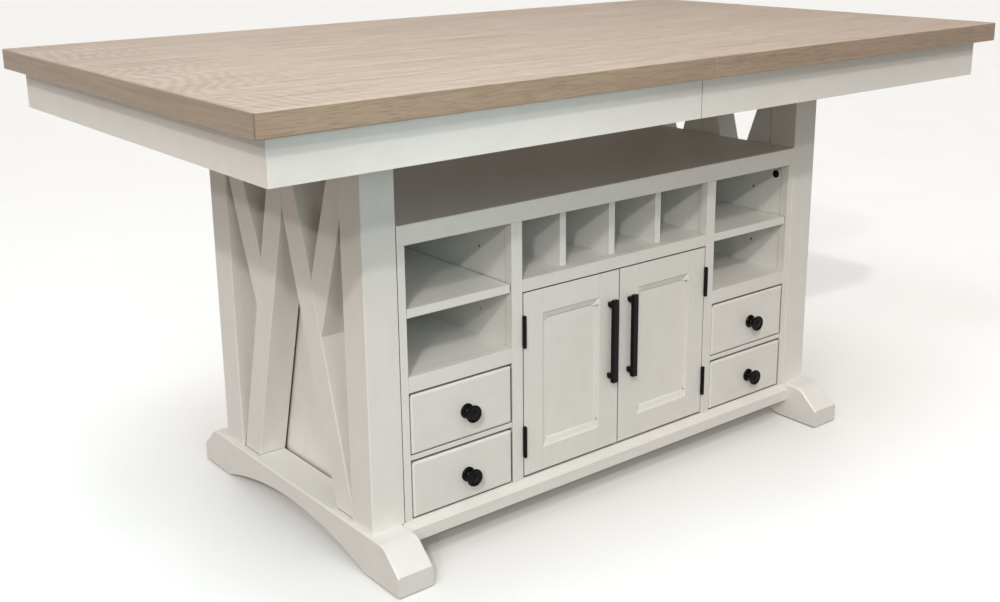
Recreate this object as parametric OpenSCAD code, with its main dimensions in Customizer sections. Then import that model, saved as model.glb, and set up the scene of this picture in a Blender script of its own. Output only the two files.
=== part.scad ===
// Extending kitchen island: a wood worktop in two sliding halves on a trestle base
// with a storage cabinet of open bays, cubbies, drawers and doors.
// Millimetres, +Z up. Origin: the floor point under the middle of the worktop.
// +X runs along the worktop, and the drawers and doors face -Y.

/* [Worktop] */
// Length of the closed worktop
top_length = 1828; // [1700:2:2000]
// Width of the worktop, front to back
top_width = 1041; // [960:1:1120]
// Thickness of the worktop
top_thickness = 39; // [30:1:48]
// Height of the worktop's upper face above the floor
island_height = 914; // [890:1:940]
// Flat that breaks each sharp edge of the worktop
top_ease = 1.6; // [0.5:0.1:3]
// Gap between the two closed halves
seam_gap = 0.8; // [0.6:0.1:2]

/* [Apron] */
// Height of the apron boards
apron_height = 76; // [60:1:90]
// Thickness of the apron boards
apron_thickness = 20; // [16:1:24]
// Distance of the apron's outer face from the worktop's edge
apron_inset = 31; // [20:1:45]
// Gap between the apron boards of the two halves
apron_gap = 1.6; // [0.8:0.1:3]

/* [Trestles] */
// Length of the base over the posts
base_length = 1212; // [1150:2:1300]
// Depth of the base over the posts
base_depth = 568; // [540:2:620]
// Side of the square posts
post_size = 70; // [64:1:76]
// Side of the square braces between the posts
brace_size = 60; // [50:1:62]
// Height of the rail that ties the posts at their tops
top_rail_height = 71; // [50:1:90]
// Half of the width of the long braces' joined top
apex_half = 28; // [20:1:40]
// Height at which a short brace leaves its post
short_brace_height = 673; // [640:1:700]
// Lean of the short braces from upright, in degrees
short_brace_lean = 19.5; // [17:0.5:22]
// Flat that breaks the edges of posts and braces
post_ease = 1.5; // [0.5:0.1:3]

/* [Feet] */
// Length of a foot beam, front to back
foot_length = 755; // [720:1:800]
// Width of a foot beam
foot_width = 75; // [70:1:80]
// Height of a foot beam's flat top above the floor
foot_top = 84; // [76:1:92]
// Height of a foot beam's blunt end
foot_end = 41; // [34:1:50]
// Length of the sloping stretch behind the blunt end
foot_slope_run = 46; // [36:1:52]
// Radius where the slope runs into the flat top
foot_shoulder_radius = 34; // [15:1:45]
// Flat that breaks a foot beam's upper edges
foot_ease = 3.2; // [1:0.1:5]
// How far a foot beam stands out past the post, sideways
foot_proud = 10; // [8:1:14]
// Span of the arch under a foot beam
arch_span = 544; // [480:2:600]
// Rise of the arch under a foot beam
arch_rise = 46; // [30:1:52]
// Diameter of a nail-on glide under a foot
glide_diameter = 24; // [18:1:30]
// Thickness of a glide under the foot
glide_thickness = 2; // [1.5:0.5:4]

/* [Cabinet] */
// Height of the open shelf above the floor
shelf_height = 646; // [620:1:660]
// Thickness of the cabinet boards
panel_thickness = 18; // [16:1:20]
// Thickness of the cabinet's end panels
end_thickness = 17; // [16:1:22]
// Thickness of the back panel
back_thickness = 6; // [4:1:9]
// Height of the cabinet's lowest edge above the floor
cabinet_bottom_height = 46; // [40:1:54]
// How far the open shelf's board lies below the rail in front of it
shelf_step = 1; // [0:0.5:3]
// Gap between the cabinet's frame and the post beside it
post_gap = 1; // [0.5:0.1:2]

/* [Face frame] */
// Thickness of the frame's rails and stiles
frame_thickness = 20; // [18:1:22]
// Height of the full-width top rail
shelf_rail_height = 37; // [30:1:44]
// Height of the full-width sill
sill_height = 40; // [34:1:46]
// Width of the two inner stiles
inner_stile_width = 26; // [22:1:32]
// Width of the middle opening that the doors fill
door_opening_width = 508; // [480:2:540]
// Height of the doors' opening
door_opening_height = 384; // [360:1:392]
// Height of the rail between the doors and the cubbies
cubby_rail_height = 25; // [20:1:30]
// Height of the lower drawers' openings
lower_drawer_opening = 116; // [108:1:122]
// Height of the upper drawers' openings
upper_drawer_opening = 122; // [114:1:128]
// Height of the rail between the drawers
drawer_rail_height = 10; // [8:1:16]
// How far the rail between the drawers lies behind the frame's face
drawer_rail_setback = 2; // [0:0.5:4]
// Height of the rail between the upper drawer and the open bay
bay_rail_height = 30; // [24:1:36]
// How far the base moulding stands out from the frame
moulding_proud = 10; // [6:1:14]
// Height of the moulding's upright face
moulding_face = 24; // [20:1:30]
// Width of the back frame's stiles
back_stile_width = 60; // [40:1:80]

/* [Shelves] */
// Number of cubbies
cubby_count = 4; // [3:1:5]
// Thickness of the boards between the cubbies
divider_thickness = 16; // [12:1:20]
// Distance of the dividers behind the frame's face
divider_setback = 25; // [21:1:40]
// Height of the adjustable shelves' undersides above the floor
loose_shelf_height = 474; // [460:1:490]
// Thickness of the adjustable shelves
loose_shelf_thickness = 17; // [14:1:20]
// Distance of the adjustable shelves' front edges behind the frame's face
loose_shelf_setback = 3; // [1:1:12]
// Distance of the support holes from the cabinet's middle plane
support_reach = 185; // [150:1:220]
// Spacing of the support holes
support_pitch = 63; // [50:1:70]
// Diameter of a shelf support's peg
support_peg = 5; // [4:0.5:6]

/* [Drawers] */
// Gap on both sides of a drawer front
drawer_side_reveal = 3; // [2:0.1:4]
// Gap over a drawer front
drawer_top_reveal = 5; // [2:0.5:6]
// Gap under a drawer front
drawer_bottom_reveal = 1.2; // [1:0.1:3]
// Thickness of a drawer front
drawer_front_thickness = 20; // [18:1:22]
// Radius round the edges of a drawer front
drawer_round = 5; // [2:0.5:8]
// Depth of a drawer box
drawer_box_depth = 470; // [420:1:500]
// Thickness of the drawer box boards
drawer_board = 13; // [12:1:15]
// Thickness of a drawer bottom
drawer_bottom = 6; // [4:1:8]
// Space beside a drawer box
drawer_side_gap = 5; // [4:1:8]
// Space under a drawer box, above the rail
drawer_lift = 8; // [5:1:12]
// Space over a drawer box, below the rail
drawer_headroom = 16; // [10:1:24]
// Height of a wooden drawer runner
runner_height = 12; // [9:1:16]
// Depth of the groove that rides on the runner
runner_groove = 6; // [4:1:7]
// Distance from the drawer front to the groove's closed end
groove_stop = 24; // [20:1:40]

/* [Doors] */
// Gap above a door
door_top_gap = 2.5; // [2:0.1:4]
// Gap below a door
door_bottom_gap = 5; // [2:0.5:6]
// Gap between the two doors
door_meeting_gap = 3; // [2.6:0.1:5]
// Gap on the hinge side, which the hinge leaves fill
door_hinge_gap = 2.4; // [2.4:0.1:4]
// Thickness of a door
door_thickness = 20; // [18:1:20]
// Width of a door's hinge stile and rails
door_stile = 48; // [42:1:56]
// Width of a door's meeting stile, which carries the pull
door_meeting_stile = 53; // [44:1:58]
// Width of the bevel inside the door's frame
door_bevel_width = 15.5; // [12:0.5:18]
// Depth of the door's panel below the frame
door_bevel_depth = 8; // [5:1:9]
// Width of the steeper strips along both sides of the bevel
door_bevel_step = 3; // [2:0.5:4]

/* [Hinges] */
// Length of a hinge
hinge_length = 60; // [50:1:76]
// Diameter of a hinge's barrel
hinge_barrel = 8; // [7:0.5:10]
// Diameter of a hinge's pin
hinge_pin = 4; // [3:0.5:5]
// Thickness of a hinge leaf
hinge_leaf = 1; // [0.8:0.1:1]
// Distance of a hinge's middle from the opening's nearer edge
hinge_inset = 78.5; // [60:0.5:100]

/* [Pulls and knobs] */
// Length of a door pull's bar
pull_length = 176; // [140:1:220]
// Distance between a pull's two posts
pull_centres = 152; // [110:1:180]
// Width of a pull's bar
pull_width = 13; // [9:1:16]
// Thickness of a pull's bar
pull_thickness = 10; // [6:1:12]
// Side of a pull's posts where they meet the door
pull_post = 9; // [7:1:12]
// How far a pull stands out from the door
pull_projection = 22; // [20:1:36]
// Height of a pull's middle above the floor
pull_height = 324; // [300:1:350]
// Distance of a pull from the door's free edge
pull_edge = 26; // [18:1:32]
// Diameter of a knob's head
knob_head = 34; // [28:1:40]
// Diameter of a knob's base
knob_base = 29; // [22:1:34]
// Diameter of a knob's neck
knob_neck = 13; // [9:1:16]
// How far a knob stands out from the drawer front
knob_projection = 26; // [24:1:34]
// Distance of a knob to the right of its drawer front's middle, the same in both bays
knob_offset = 9; // [0:1:20]
// Distance of a knob below its drawer front's middle
knob_drop = 4; // [0:1:12]

/* [Extension] */
// Travel of each half of the worktop
extension_travel = 229; // [150:1:240]
// Width of a fixed slide
slide_width = 26; // [22:1:32]
// Height of a slide
slide_height = 36; // [30:1:44]
// Thickness of a moving slide
mover_thickness = 20; // [16:1:24]
// Distance of a fixed slide from the middle plane
slide_reach = 200; // [180:1:200]
// Clearance between a slide and what passes over or under it
slide_gap = 3; // [1:0.5:5]
// Height of the tongue on a moving slide
tongue_height = 12; // [8:1:16]
// Depth of the groove in a fixed slide
groove_depth = 7; // [5:1:8]
// Number of teeth on the equaliser's pinion
pinion_teeth = 16; // [16:2:20]
// Module of the equaliser's teeth
tooth_module = 3; // [2.5:0.5:3]
// Thickness of the pinion and racks
gear_thickness = 12; // [8:1:14]
// Backlash between rack and pinion
backlash = 0.4; // [0.3:0.1:0.8]

/* [Fasteners] */
// Diameter of the bolts that join cabinet and posts
bolt_diameter = 8; // [6:1:10]
// Diameter of a bolt's washer
washer_diameter = 17; // [14:1:20]
// Height of the upper bolts
upper_bolt_height = 584; // [560:1:596]
// Height of the lower bolts
lower_bolt_height = 112; // [104:1:116]
// Diameter of the worktop's alignment dowels
dowel_diameter = 10; // [8:1:12]

/* [Clearances] */
// Gap between glued boards
glue_gap = 0.2; // [0.1:0.1:0.4]
// Gap between a sliding tongue and its groove
sliding_gap = 0.5; // [0.3:0.1:1]
// Gap between a turning part and its pin
turning_gap = 0.06; // [0.03:0.01:0.1]
// Gap round a bolt, peg or dowel in its hole
hole_gap = 0.4; // [0.2:0.1:0.8]

/* [Hidden] */
$fn = 48;

paint = "#e6e1d8";
oak = "#c3ad98";
bare_wood = "#d9c19a";
black_metal = "#1c1b1a";
steel = "#8f9396";
grey_plastic = "#55534f";

// Places along X
top_end = top_length / 2;
post_out = base_length / 2;
post_in = post_out - post_size;
trestle_x = post_out - post_size / 2;
foot_out = post_out + foot_proud;
foot_in = foot_out - foot_width;
foot_x = foot_out - foot_width / 2;
frame_end = post_in - post_gap;
bay_out = post_in - end_thickness;
door_side = door_opening_width / 2;
bay_in = door_side + inner_stile_width;
partition_in = bay_in - panel_thickness;
bay_width = bay_out - bay_in;
bay_mid = (bay_out + bay_in) / 2;

// Places along Y
face_y = base_depth / 2;
frame_back = face_y - frame_thickness;
post_side = face_y - post_size;
back_y = frame_back - back_thickness;

// Heights
top_under = island_height - top_thickness;
slide_top = top_under - slide_gap;
trestle_top = slide_top - slide_height;
rail_under = trestle_top - top_rail_height;
shelf_under = shelf_height - shelf_step - panel_thickness;
rail_bottom = shelf_height - shelf_rail_height;
sill_top = cabinet_bottom_height + sill_height;
lower_drawer_top = sill_top + lower_drawer_opening;
upper_drawer_bottom = lower_drawer_top + drawer_rail_height;
upper_drawer_top = upper_drawer_bottom + upper_drawer_opening;
bay_floor_top = upper_drawer_top + bay_rail_height;
door_opening_top = sill_top + door_opening_height;
cubby_floor_top = door_opening_top + cubby_rail_height;
support_peg_height = loose_shelf_height + loose_shelf_thickness / 2;

// Lean of the long braces: from the foot of each post to the apex at the top rail
long_slope = (post_side - apex_half) / (rail_under - foot_top);
long_cut = brace_size / cos(atan(long_slope));
short_slope = tan(short_brace_lean);
short_cut = brace_size / cos(short_brace_lean);

// Doors and hinges
door_bottom = sill_top + door_bottom_gap;
door_top = door_opening_top - door_top_gap;
door_height = door_top - door_bottom;
door_width = door_side - door_hinge_gap - door_meeting_gap / 2;
door_out = door_side - door_hinge_gap;
hinge_x = door_side - door_hinge_gap / 2;
hinge_clear = 0.2;
hinge_y = face_y + hinge_barrel / 2 + hinge_clear;
hinge_heights = [sill_top + hinge_inset, door_opening_top - hinge_inset];
knuckle_count = 5;
knuckle_gap = 0.3;

// Extension gear
pitch_radius = pinion_teeth * tooth_module / 2;
tooth_pitch = PI * tooth_module;
pressure_angle = 20;
tooth_addendum = 0.9 * tooth_module;
tooth_dedendum = 1.15 * tooth_module;
tooth_width = (tooth_pitch - backlash) / 2;
rack_width = 13;
gear_top = top_under - 17;
gear_bottom = gear_top - gear_thickness;
bridge_thickness = 12;
bridge_half = 45;
axle_radius = 5;

// --- Helpers ---------------------------------------------------------------

// Box between two opposite corners
module span(lo, hi) {
    translate(lo) cube(hi - lo);
}

// Draws the children at the right end and mirrored at the left end
module both_ends() {
    children();
    mirror([1, 0, 0]) children();
}

// Draws the children at the back and mirrored at the front
module both_sides() {
    children();
    mirror([0, 1, 0]) children();
}

// Rectangle with its corners cut off by a flat
module eased_rect(w, h, ease) {
    a = w / 2;
    b = h / 2;
    polygon([
        [-a + ease, -b], [a - ease, -b], [a, -b + ease], [a, b - ease],
        [a - ease, b], [-a + ease, b], [-a, b - ease], [-a, -b + ease]
    ]);
}

// Box between two opposite corners with a flat along every edge
module eased_span(lo, hi, ease) {
    s = hi - lo;
    translate((lo + hi) / 2) intersection() {
        linear_extrude(s.z, center = true) eased_rect(s.x, s.y, ease);
        rotate([90, 0, 0]) linear_extrude(s.y, center = true) eased_rect(s.x, s.z, ease);
        rotate([90, 0, 90]) linear_extrude(s.x, center = true) eased_rect(s.y, s.z, ease);
    }
}

// Plank of a convex [y, z] outline, centred on x = 0, with its edges broken
module eased_plank(outline, thickness, ease) {
    rotate([90, 0, 90]) hull() {
        linear_extrude(thickness - 2 * ease, center = true) polygon(outline);
        linear_extrude(thickness, center = true) offset(delta = -ease) polygon(outline);
    }
}

// Prism of a [y, z] outline along X, centred on x = 0
module along_x(length) {
    rotate([90, 0, 90]) linear_extrude(length, center = true) children();
}

// Bore along X, centred on a point
module bore_x(at, diameter, length) {
    translate(at) rotate([0, 90, 0]) cylinder(d = diameter, h = length, center = true);
}

// --- Trestles --------------------------------------------------------------

// Upper outline of a foot beam as [y, z] points: blunt ends, slopes with round shoulders
function foot_shoulder() =
    let (
        slope = atan((foot_top - foot_end) / foot_slope_run),
        tangent = foot_shoulder_radius * tan(slope / 2),
        knee_y = foot_length / 2 - foot_slope_run
    )
    [for (i = [0 : 6])
        let (a = slope * i / 6)
        [
            knee_y - tangent + foot_shoulder_radius * sin(a),
            foot_top - foot_shoulder_radius * (1 - cos(a))
        ]
    ];

function foot_outline() =
    let (shoulder = foot_shoulder())
    concat(
        [for (p = shoulder) p],
        [[foot_length / 2, foot_end], [foot_length / 2, glide_thickness],
            [-foot_length / 2, glide_thickness], [-foot_length / 2, foot_end]],
        [for (i = [len(shoulder) - 1 : -1 : 0]) [-shoulder[i].x, shoulder[i].y]]
    );

// Glide positions along a foot beam: two under each pad
function glide_places() =
    let (pad = (foot_length - arch_span) / 4, middle = arch_span / 2 + pad)
    [for (s = [-1, 1], d = [-pad / 2, pad / 2]) s * middle + d];

module foot_beam() {
    arch_radius = (pow(arch_span / 2, 2) + pow(arch_rise, 2)) / (2 * arch_rise);
    color(paint) translate([foot_x, 0, 0]) difference() {
        rotate([90, 0, 90]) hull() {
            linear_extrude(foot_width - 2 * foot_ease, center = true) polygon(foot_outline());
            linear_extrude(foot_width, center = true) offset(delta = -foot_ease)
                polygon(foot_outline());
            translate([0, foot_end / 2]) cube([foot_length, foot_end - 2 * foot_ease, foot_width],
                center = true);
        }
        translate([0, 0, glide_thickness + arch_rise - arch_radius]) rotate([0, 90, 0])
            cylinder(r = arch_radius, h = foot_width + 2, center = true, $fn = 180);
        for (y = glide_places()) translate([0, y, 0])
            cylinder(d = glide_diameter / 5 + hole_gap, h = 20);
    }
}

module floor_glides() {
    color(grey_plastic) both_ends() for (y = glide_places()) translate([foot_x, y, 0]) {
        cylinder(d1 = glide_diameter - 2, d2 = glide_diameter, h = glide_thickness);
        cylinder(d = glide_diameter / 5, h = 16);
    }
}

module post() {
    color(paint) difference() {
        translate([trestle_x, face_y - post_size / 2, foot_top])
            linear_extrude(trestle_top - foot_top) eased_rect(post_size, post_size, post_ease);
        for (z = [lower_bolt_height, upper_bolt_height])
            bore_x([post_in, face_y - post_size / 2, z], bolt_diameter + hole_gap, 80);
    }
}

// Back half of the inverted V: from the foot of the post to the apex
module long_brace() {
    outer = post_side - glue_gap;
    outline = [
        [outer, foot_top + glue_gap],
        [apex_half, rail_under - glue_gap],
        [glue_gap / 2, rail_under - glue_gap],
        [glue_gap / 2, foot_top + (post_side - long_cut) / long_slope],
        [outer - long_cut, foot_top + glue_gap]
    ];
    translate([trestle_x, 0, 0]) eased_plank(outline, brace_size, post_ease);
}

// Back short brace: from the head of the post down to the long brace
module short_brace() {
    total = long_slope + short_slope;
    outer = post_side - glue_gap;
    drop = short_brace_height * short_slope + foot_top * long_slope;
    low_z = drop / total;
    high_z = (drop + short_cut) / total;
    long_y = [for (z = [low_z, high_z]) post_side - (z - foot_top) * long_slope + glue_gap];
    head_y = post_side + (rail_under - short_brace_height) * short_slope - short_cut;
    outline = [
        [outer, rail_under - glue_gap],
        [outer, short_brace_height],
        [long_y[0], low_z],
        [long_y[1], high_z],
        [head_y, rail_under - glue_gap]
    ];
    translate([trestle_x, 0, 0]) eased_plank(outline, brace_size, post_ease);
}

module long_braces() {
    color(paint) both_sides() long_brace();
}

module short_braces() {
    color(paint) both_sides() short_brace();
}

module trestle_top_rails() {
    half = brace_size / 2;
    color(paint) both_ends() span(
        [trestle_x - half, -post_side + glue_gap, rail_under],
        [trestle_x + half, post_side - glue_gap, trestle_top]
    );
}

// --- Cabinet ---------------------------------------------------------------

// Rows of support holes in both walls of a bay
module support_holes() {
    for (wall = [bay_in, bay_out], y = [-support_reach, support_reach], step = [-1 : 1])
        bore_x([wall, y, support_peg_height + step * support_pitch], support_peg + hole_gap, 16);
}

module cabinet_ends() {
    color(paint) both_ends() difference() {
        span([bay_out, -frame_back + glue_gap, cabinet_bottom_height],
            [post_in, frame_back - glue_gap, shelf_under]);
        support_holes();
        for (y = [-1, 1] * (face_y - post_size / 2), z = [lower_bolt_height, upper_bolt_height])
            bore_x([bay_out, y, z], bolt_diameter + hole_gap, 80);
    }
}

module partitions() {
    color(paint) both_ends() difference() {
        span([partition_in, -frame_back + glue_gap, sill_top],
            [bay_in, back_y - glue_gap, shelf_under]);
        support_holes();
    }
}

module cabinet_floor() {
    color(paint) span(
        [-bay_out + glue_gap, -frame_back + glue_gap, sill_top - panel_thickness],
        [bay_out - glue_gap, back_y - glue_gap, sill_top]
    );
}

module bay_floors() {
    color(paint) both_ends() span(
        [bay_in + glue_gap, -frame_back + glue_gap, bay_floor_top - panel_thickness],
        [bay_out - glue_gap, back_y - glue_gap, bay_floor_top]
    );
}

module cubby_floor() {
    color(paint) span(
        [-partition_in + glue_gap, -frame_back + glue_gap, cubby_floor_top - panel_thickness],
        [partition_in - glue_gap, back_y - glue_gap, cubby_floor_top]
    );
}

module cubby_dividers() {
    clear_width = (door_opening_width - (cubby_count - 1) * divider_thickness) / cubby_count;
    for (i = [1 : cubby_count - 1]) {
        x = -door_side + i * clear_width + (i - 0.5) * divider_thickness;
        color(paint) span(
            [x - divider_thickness / 2, -face_y + divider_setback, cubby_floor_top],
            [x + divider_thickness / 2, back_y - glue_gap, shelf_under]
        );
    }
}

module open_shelf() {
    color(paint) eased_span(
        [-post_in, -frame_back + glue_gap, shelf_under],
        [post_in, frame_back - glue_gap, shelf_height - shelf_step],
        0.6
    );
}

module back_panel() {
    color(paint) span(
        [-bay_out + glue_gap, back_y, sill_top - panel_thickness],
        [bay_out - glue_gap, frame_back - glue_gap, shelf_under]
    );
}

// Frame piece between two [x, z] corners, on the front face
module frame_piece(lo, hi, thickness = frame_thickness) {
    eased_span([lo.x, -face_y, lo.y], [hi.x, -face_y + thickness, hi.y], 0.6);
}

module back_frame() {
    gap = glue_gap;
    stile_middle = (frame_end - back_stile_width) / 3;
    color(paint) mirror([0, 1, 0]) {
        frame_piece([-frame_end, rail_bottom], [frame_end, shelf_height]);
        frame_piece([-frame_end, cabinet_bottom_height], [frame_end, sill_top]);
        both_ends() {
            frame_piece([frame_end - back_stile_width, sill_top + gap],
                [frame_end, rail_bottom - gap]);
            frame_piece([stile_middle - back_stile_width / 2, sill_top + gap],
                [stile_middle + back_stile_width / 2, rail_bottom - gap]);
        }
    }
}

module face_frame_stiles() {
    gap = glue_gap;
    color(paint) both_ends() {
        frame_piece([bay_out, sill_top + gap], [frame_end, rail_bottom - gap]);
        frame_piece([door_side, sill_top + gap], [bay_in, rail_bottom - gap]);
    }
}

module face_frame_rails() {
    gap = glue_gap;
    color(paint) {
        frame_piece([-frame_end, rail_bottom], [frame_end, shelf_height]);
        frame_piece([-frame_end, cabinet_bottom_height], [frame_end, sill_top]);
        frame_piece([-door_side + gap, door_opening_top], [door_side - gap, cubby_floor_top]);
        both_ends() {
            frame_piece([bay_in + gap, upper_drawer_top], [bay_out - gap, bay_floor_top]);
            eased_span([bay_in + gap, -face_y + drawer_rail_setback, lower_drawer_top],
                [bay_out - gap, -frame_back, upper_drawer_bottom], 0.6);
        }
    }
}

module base_mouldings() {
    low = cabinet_bottom_height;
    color(paint) both_sides() along_x(2 * (foot_in - glue_gap)) polygon([
        [face_y, low],
        [face_y + moulding_proud, low],
        [face_y + moulding_proud, low + moulding_face],
        [face_y, sill_top - 2]
    ]);
}

module adjustable_shelves() {
    side_gap = 2;
    color(paint) both_ends() eased_span(
        [bay_in + side_gap, -face_y + loose_shelf_setback, loose_shelf_height],
        [bay_out - side_gap, back_y - 8, loose_shelf_height + loose_shelf_thickness],
        0.8
    );
}

// Steel support under one end of an adjustable shelf: peg, upright plate and ledge
module shelf_support() {
    plate = 1.2;
    width = 12;
    rotate([0, -90, 0]) cylinder(d = support_peg, h = 7.5);
    span([0, -width / 2, loose_shelf_height - support_peg_height - plate], [plate, width / 2, 5]);
    span([0, -width / 2, loose_shelf_height - support_peg_height - plate],
        [10, width / 2, loose_shelf_height - support_peg_height - 0.1]);
}

module shelf_supports() {
    color(steel) both_ends() for (y = [-support_reach, support_reach]) {
        translate([bay_in + 0.3, y, support_peg_height]) shelf_support();
        translate([bay_out - 0.3, y, support_peg_height]) mirror([1, 0, 0]) shelf_support();
    }
}

// Bolt with a washer, from inside the bay through the end panel into the post
module cabinet_bolt() {
    head = bolt_diameter * 0.35;
    difference() {
        rotate([0, 90, 0]) {
            translate([0, 0, -1.5]) cylinder(d = washer_diameter, h = 1.5);
            translate([0, 0, -1.5 - head]) cylinder(d1 = bolt_diameter, d2 = bolt_diameter + 3, h = head);
            cylinder(d = bolt_diameter, h = end_thickness + 34);
        }
        translate([-1.5 - head - 1, 0, 0]) rotate([0, 90, 0])
            cylinder(d = bolt_diameter * 0.55, h = head, $fn = 6);
    }
}

module cabinet_bolts() {
    color(black_metal) both_ends() both_sides() for (z = [lower_bolt_height, upper_bolt_height])
        translate([bay_out, face_y - post_size / 2, z]) cabinet_bolt();
}

module door_catches() {
    color(grey_plastic) for (side = [-1, 1]) translate([side * 22, 0, 0]) span(
        [-9, -face_y + door_thickness + 0.6, door_opening_top - 9],
        [9, -face_y + door_thickness + 26, cubby_floor_top - panel_thickness]
    );
}

// --- Drawers ---------------------------------------------------------------

// Lowest and highest level of a drawer box in an opening
function box_low(opening_low) = opening_low + drawer_lift;
function box_high(opening_high) = opening_high - drawer_headroom;
function runner_z(lo, hi) = (box_low(lo) + box_high(hi)) / 2;

// Rectangle from the origin with rounded corners; only those at x = 0 when one_side is set
module round_rect(w, h, r, one_side = false) {
    last = one_side ? w : w - r;
    translate([r, 0]) square([last - r, h]);
    translate([0, r]) square([one_side ? r : w, h - 2 * r]);
    for (x = one_side ? [r] : [r, w - r], y = [r, h - r]) translate([x, y]) circle(r);
}

// Front of a drawer in the right-hand bay, with rounded edges all round its face
module drawer_front(lo, hi) {
    w = bay_width - 2 * drawer_side_reveal;
    t = drawer_front_thickness;
    h = hi - lo - drawer_top_reveal - drawer_bottom_reveal;
    color(paint) translate([bay_in + drawer_side_reveal, -face_y, lo + drawer_bottom_reveal])
        intersection() {
            translate([w, 0, 0]) rotate([0, 0, 90]) linear_extrude(h)
                round_rect(t, w, drawer_round, true);
            translate([0, t, 0]) rotate([90, 0, 0]) linear_extrude(t) round_rect(w, h, drawer_round);
            rotate([90, 0, 90]) linear_extrude(w) round_rect(t, h, drawer_round, true);
        }
}

// Side board of a drawer box with the groove that rides on the runner
module drawer_side(x_out, inward, lo, hi) {
    front = -face_y + drawer_front_thickness;
    groove_half = runner_height / 2 + sliding_gap;
    middle = runner_z(lo, hi);
    difference() {
        translate([x_out + min(0, inward * drawer_board), front, box_low(lo)])
            cube([drawer_board, drawer_box_depth, box_high(hi) - box_low(lo)]);
        translate([x_out - runner_groove, front + groove_stop, middle - groove_half])
            cube([2 * runner_groove, drawer_box_depth, 2 * groove_half]);
    }
}

// Box of a drawer in the right-hand bay: five boards
module drawer_box(lo, hi) {
    front = -face_y + drawer_front_thickness;
    left = bay_in + drawer_side_gap;
    right = bay_out - drawer_side_gap;
    in_left = left + drawer_board + glue_gap;
    in_right = right - drawer_board - glue_gap;
    low = box_low(lo);
    high = box_high(hi);
    back = front + drawer_box_depth;
    color(bare_wood) {
        drawer_side(left, 1, lo, hi);
        drawer_side(right, -1, lo, hi);
        span([in_left, front, low], [in_right, front + drawer_board, high]);
        span([in_left, back - drawer_board, low], [in_right, back, high]);
        span([in_left, front + drawer_board + glue_gap, low + 6],
            [in_right, back - drawer_board - glue_gap, low + 6 + drawer_bottom]);
    }
}

module drawer_runners() {
    reach = drawer_side_gap + runner_groove - sliding_gap;
    front = -face_y + drawer_front_thickness + groove_stop + 2;
    openings = [[sill_top, lower_drawer_top], [upper_drawer_bottom, upper_drawer_top]];
    color(bare_wood) both_ends() for (o = openings, wall = [0, 1]) {
        x = wall == 0 ? bay_in + glue_gap : bay_out - reach;
        translate([x, front, runner_z(o[0], o[1]) - runner_height / 2])
            cube([reach - glue_gap, drawer_box_depth - groove_stop - 4, runner_height]);
    }
}

// Turned knob, standing out towards -Y from the front of a drawer in the right-hand bay
module knob(lo, hi, offset) {
    base = knob_base / 2;
    head = knob_head / 2;
    neck = knob_neck / 2;
    out = knob_projection;
    middle = (lo + drawer_bottom_reveal + hi - drawer_top_reveal) / 2;
    color(black_metal) translate([bay_mid + offset, -face_y, middle - knob_drop]) rotate([90, 0, 0])
        rotate_extrude() polygon([
            [0, 0], [base, 0], [base, 2.4], [base - 1.2, 4], [base - 3.4, 5], [neck + 1.5, 6.8],
            [neck, 8.6], [neck, 10.4], [neck + 1.6, 12.4], [head - 5, out - 9.6], [head - 1.4, out - 7.2],
            [head, out - 5], [head, out - 3], [head - 0.8, out - 1.5], [head - 2.2, out - 1],
            [head - 3.8, out - 1.8], [head - 5.2, out - 2.9], [neck + 1, out - 2.6],
            [neck - 1.5, out - 1.2], [neck - 4, out - 0.2], [0, out]
        ]);
}

module upper_drawer_front() drawer_front(upper_drawer_bottom, upper_drawer_top);
module lower_drawer_front() drawer_front(sill_top, lower_drawer_top);
module upper_drawer_box() drawer_box(upper_drawer_bottom, upper_drawer_top);
module lower_drawer_box() drawer_box(sill_top, lower_drawer_top);
module upper_knob(side) knob(upper_drawer_bottom, upper_drawer_top, side * knob_offset);
module lower_knob(side) knob(sill_top, lower_drawer_top, side * knob_offset);

// --- Doors -----------------------------------------------------------------

// Run of [in, depth] points down the door's bevel: steep, shallow, steep
bevel_run = [
    [0, 0], [door_bevel_step, 0.3 * door_bevel_depth],
    [door_bevel_width - door_bevel_step, 0.7 * door_bevel_depth], [door_bevel_width, door_bevel_depth]
];

// Section of the door's recess between two edges, as [place, y] points; open to the front
function recess_section(lo, hi) =
    let (margin = 1)
    concat(
        [[lo, -face_y - margin]],
        [for (p = bevel_run) [lo + p[0], -face_y + p[1]]],
        [for (i = [len(bevel_run) - 1 : -1 : 0]) [hi - bevel_run[i][0], -face_y + bevel_run[i][1]]],
        [[hi, -face_y - margin]]
    );

// Solid that the door's bevelled opening takes out, mitred at its corners
module door_recess() {
    across = recess_section(door_out - door_width + door_meeting_stile, door_out - door_stile);
    upright = recess_section(door_bottom + door_stile, door_top - door_stile);
    intersection() {
        translate([0, 0, door_bottom]) linear_extrude(door_height) polygon(across);
        rotate([90, 0, 90]) linear_extrude(door_side) polygon([for (p = upright) [p[1], p[0]]]);
    }
}

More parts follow.
